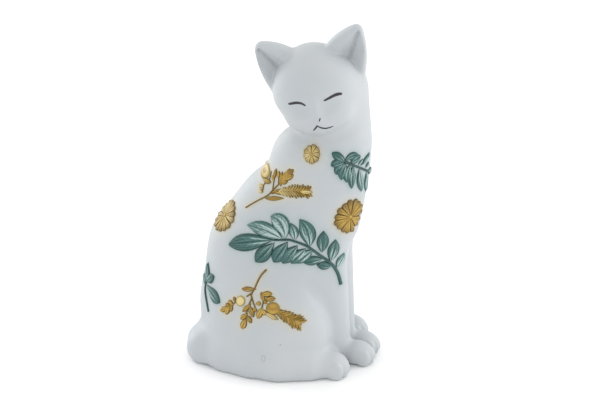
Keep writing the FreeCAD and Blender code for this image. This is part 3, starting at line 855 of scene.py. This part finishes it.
class Recipe:
    """One procedural material, put together from small steps."""

    def __init__(self, name):
        self.material = bpy.data.materials.new(name)
        self.material.use_nodes = True
        self.nodes = self.material.node_tree.nodes
        self.links = self.material.node_tree.links
        self.shader = self.nodes["Principled BSDF"]
        self.place = self.nodes.new("ShaderNodeTexCoord").outputs["Object"]

    def feed(self, socket, value):
        """Links a socket to another, or sets its number or colour."""
        if isinstance(value, bpy.types.NodeSocket):
            self.links.new(value, socket)
        elif isinstance(value, tuple) and len(value) == 3:
            socket.default_value = (*value, 1.0)
        else:
            socket.default_value = value

    def field(self, name):
        node = self.nodes.new("ShaderNodeAttribute")
        node.attribute_name = name
        return node.outputs["Fac"]

    def sum(self, operation, *values):
        node = self.nodes.new("ShaderNodeMath")
        node.operation = operation
        for i, value in enumerate(values):
            self.feed(node.inputs[i], value)
        return node.outputs[0]

    def step(self, value, low, high, start=0.0, end=1.0):
        """A smooth step from start at low to end at high."""
        node = self.nodes.new("ShaderNodeMapRange")
        node.interpolation_type = "SMOOTHSTEP"
        for name, number in (("From Min", low), ("From Max", high), ("To Min", start), ("To Max", end)):
            node.inputs[name].default_value = number
        self.feed(node.inputs["Value"], value)
        return node.outputs["Result"]

    def noise(self, scale, detail=3.0, where=None):
        node = self.nodes.new("ShaderNodeTexNoise")
        node.inputs["Scale"].default_value = scale
        node.inputs["Detail"].default_value = detail
        self.feed(node.inputs["Vector"], self.place if where is None else where)
        return node.outputs["Fac"]

    def position(self, x, y, z):
        node = self.nodes.new("ShaderNodeCombineXYZ")
        for i, value in enumerate((x, y, z)):
            self.feed(node.inputs[i], value)
        return node.outputs[0]

    def mix(self, share, first, second):
        node = self.nodes.new("ShaderNodeMix")
        node.data_type = "RGBA"
        self.feed(node.inputs[0], share)
        self.feed(node.inputs[6], first)
        self.feed(node.inputs[7], second)
        return node.outputs[2]

    def finish(self, colour, roughness, height, depth_mm, strength=0.5):
        """Feeds the shader; height is the surface's fine relief."""
        self.feed(self.shader.inputs["Base Color"], colour)
        self.feed(self.shader.inputs["Roughness"], roughness)
        self.shader.inputs["Specular IOR Level"].default_value = 0.35
        bump = self.nodes.new("ShaderNodeBump")
        bump.inputs["Strength"].default_value = strength
        bump.inputs["Distance"].default_value = depth_mm * MM
        self.feed(bump.inputs["Height"], height)
        self.links.new(bump.outputs["Normal"], self.shader.inputs["Normal"])
        return self.material


def white_colour(r):
    """Matt white glaze, a little cloudy, with a few fine specks and stained round the relief."""
    cloud = r.noise(16.0, 4.0)
    colour = r.mix(r.step(cloud, 0.35, 0.65), WHITE, WHITE_PALE)
    speck = r.step(r.noise(420.0, 1.0), 0.79, 0.83, 0.0, 0.10)
    colour = r.mix(speck, colour, (0.30, 0.27, 0.24))
    uneven = r.step(r.noise(90.0, 3.0), 0.25, 0.7, 0.35, 1.0)
    colour = r.mix(r.sum("MULTIPLY", r.field("near_gold_glaze"), uneven), colour, GOLD_STAIN)
    return r.mix(r.sum("MULTIPLY", r.field("near_green_glaze"), uneven), colour, GREEN_STAIN)


def white_glaze():
    r = Recipe("white_glaze")
    grain = r.noise(700.0, 2.0)
    return r.finish(white_colour(r), r.step(grain, 0.2, 0.8, 0.42, 0.55), grain, 0.03, 0.35)


def petal_grain(r):
    """The painted fields of a relief and brush streaks that run along each petal."""
    across = r.field("across")
    along = r.field("along")
    tone = r.field("tone")
    edge = r.sum("ABSOLUTE", across)
    where = r.position(r.sum("MULTIPLY", across, 3.5), along, r.sum("MULTIPLY", tone, 40.0))
    return edge, along, tone, r.noise(2.6, 4.0, where)


def green_glaze():
    """Teal glaze brushed into the relief: dark outlines, ribs and tips, paler blades."""
    r = Recipe("green_glaze")
    edge, along, _, streak = petal_grain(r)
    wash = r.field("wash")
    rib = r.step(edge, 0.03, 0.10, 0.45, 0.0)
    outline = r.step(edge, 0.72, 0.95, 0.0, 0.65)
    tip = r.step(along, 0.72, 1.0, 0.0, 0.45)
    slit = r.sum("MULTIPLY", r.step(edge, 0.10, 0.24), r.step(edge, 0.42, 0.66, 1.0, 0.0))
    slit = r.sum("MULTIPLY", slit, r.step(along, 0.35, 0.85, 0.75, 0.0))
    slant = r.sum("SUBTRACT", along, r.sum("MULTIPLY", edge, 0.16))
    vein = r.sum("SINE", r.sum("MULTIPLY", slant, 62.0))
    vein = r.step(vein, 0.45, 1.0, 0.0, 0.22)
    dark = r.sum("SUBTRACT", 1.42, wash)
    brush = r.sum("MULTIPLY", r.sum("SUBTRACT", streak, 0.5), 3.4)
    for part in (rib, outline, tip, vein, brush):
        dark = r.sum("ADD", dark, part)
    dark = r.sum("SUBTRACT", dark, slit)
    dark = r.sum("MAXIMUM", dark, r.sum("MULTIPLY", r.field("ink"), 1.3))
    blade = r.mix(r.step(dark, 0.1, 0.9), (0.42, 0.53, 0.51), (0.058, 0.145, 0.136))
    blade = r.mix(r.step(dark, 1.0, 1.8, 0.0, 0.9), blade, (0.016, 0.058, 0.054))
    colour = r.mix(r.step(edge, 1.0, 1.22), blade, GREEN_STAIN)
    height = r.sum("ADD", streak, r.sum("MULTIPLY", vein, -2.0))
    return r.finish(colour, 0.42, height, 0.12, 0.6)


def gold_glaze():
    """Ochre glaze: pale yellow on the high edges, brown in the grooves and outlines."""
    r = Recipe("gold_glaze")
    edge, along, tone, streak = petal_grain(r)
    wash = r.field("wash")
    brush = r.sum("MULTIPLY", r.sum("SUBTRACT", streak, 0.5), 2.6)
    shade = r.sum("ADD", r.sum("MULTIPLY", tone, 0.7), r.sum("ADD", brush, 0.2))
    blade = r.mix(r.step(shade, 0.0, 0.9), (0.27, 0.152, 0.026), (0.56, 0.365, 0.065))
    pale = r.step(r.sum("ADD", wash, r.sum("MULTIPLY", brush, 0.4)), 0.3, 0.9)
    blade = r.mix(pale, blade, (0.70, 0.58, 0.28))
    ink = r.field("ink")
    rib = r.step(edge, 0.04, 0.17, 0.85, 0.0)
    outline = r.step(edge, 0.54, 0.90, 0.0, 1.0)
    tip = r.step(along, 0.5, 1.0, 0.0, 0.8)
    stem = r.sum("MULTIPLY", ink, 0.8)
    brown = r.sum("MAXIMUM", r.sum("MAXIMUM", rib, outline), r.sum("MAXIMUM", tip, stem))
    berry = r.step(ink, -1.0, -0.5, 1.0, 0.0)
    leafy = r.sum("SUBTRACT", 1.0, berry)
    rim = r.sum("MULTIPLY", berry, r.step(edge, 0.70, 0.92, 0.0, 0.75))
    brown = r.sum("MULTIPLY", r.sum("MULTIPLY", brown, leafy), r.step(wash, 0.5, 1.2, 1.0, 0.35))
    blade = r.mix(brown, blade, (0.125, 0.078, 0.018))
    blade = r.mix(rim, blade, (0.19, 0.15, 0.045))
    colour = r.mix(r.step(edge, 1.0, 1.22), blade, GOLD_STAIN)
    return r.finish(colour, 0.42, streak, 0.12, 0.6)


def ink_paint(name, dark, light):
    """Thin paint of the eyes and the mouth, weaker at the edges of a stroke."""
    r = Recipe(name)
    edge, _, _, streak = petal_grain(r)
    colour = r.mix(r.step(streak, 0.35, 0.7), dark, light)
    colour = r.mix(r.step(edge, 0.6, 1.0, 0.0, 0.5), colour, (0.35, 0.37, 0.39))
    return r.finish(colour, 0.5, streak, 0.02, 0.3)


def plain_material(name, colour, roughness):
    material = bpy.data.materials.new(name)
    material.use_nodes = True
    shader = material.node_tree.nodes["Principled BSDF"]
    shader.inputs["Base Color"].default_value = (*colour, 1)
    shader.inputs["Roughness"].default_value = roughness
    return material


# ---- stage (metres) ----------------------------------------------------------------------
FLOOR_REACH = 6.0
CAMERA_AZIMUTH, CAMERA_ELEVATION, CAMERA_DISTANCE = math.radians(15.0), math.radians(21.0), 0.8
CAMERA_TARGET = (0.008, 0.0, 0.097)
LENS_MM, SENSOR_MM = 82.74, 36.0


def build_stage():
    """Pale floor and soft light."""
    mesh = bpy.data.meshes.new("floor")
    r = FLOOR_REACH
    mesh.from_pydata([(-r, -r, 0), (r, -r, 0), (r, r, 0), (-r, r, 0)], [], [(0, 1, 2, 3)])
    floor = bpy.data.objects.new("floor", mesh)
    floor.data.materials.append(plain_material("floor", (0.97, 0.97, 0.97), 0.95))
    bpy.context.collection.objects.link(floor)
    world = bpy.data.worlds.new("studio")
    bpy.context.scene.world = world
    world.use_nodes = True
    background = world.node_tree.nodes["Background"]
    background.inputs["Color"].default_value = (1.0, 1.0, 1.0, 1)
    background.inputs["Strength"].default_value = 1.06
    add_light("left", (-1.0, 0.45, 0.45), 0.8, 4.5)
    add_light("right", (1.05, 0.35, 0.5), 0.8, 4.0)
    bpy.context.scene.view_settings.view_transform = "Standard"


def add_light(name, place, size, power):
    data = bpy.data.lights.new(name, "AREA")
    data.size = size
    data.energy = power
    light = bpy.data.objects.new(name, data)
    light.location = place
    aim(light, (0.0, 0.0, 0.1))
    bpy.context.collection.objects.link(light)


def aim(obj, target):
    """Points an object's -Z at the target."""
    away = Vector(obj.location) - Vector(target)
    obj.rotation_euler = away.to_track_quat("Z", "Y").to_euler()


def build_camera():
    """The camera, round from the right flank towards the chest and looking down."""
    data = bpy.data.cameras.new("camera")
    data.lens = LENS_MM
    data.sensor_width = SENSOR_MM
    camera = bpy.data.objects.new("camera", data)
    level = CAMERA_DISTANCE * math.cos(CAMERA_ELEVATION)
    camera.location = (CAMERA_TARGET[0] + level * math.sin(CAMERA_AZIMUTH),
                       CAMERA_TARGET[1] - level * math.cos(CAMERA_AZIMUTH),
                       CAMERA_TARGET[2] + CAMERA_DISTANCE * math.sin(CAMERA_ELEVATION))
    aim(camera, CAMERA_TARGET)
    bpy.context.collection.objects.link(camera)
    bpy.context.scene.camera = camera


skin = build_skin()
glaze = white_glaze()
for piece in skin.values():
    piece.data.materials.append(glaze)
stain_skin(skin, build_sprigs({"green_glaze": green_glaze(), "gold_glaze": gold_glaze()}))
build_face(ink_paint("ink_paint", (0.020, 0.018, 0.022), (0.055, 0.048, 0.055)))
build_marks(ink_paint("faint_mark", (0.30, 0.33, 0.33), (0.40, 0.42, 0.42)))
build_stage()
build_camera()
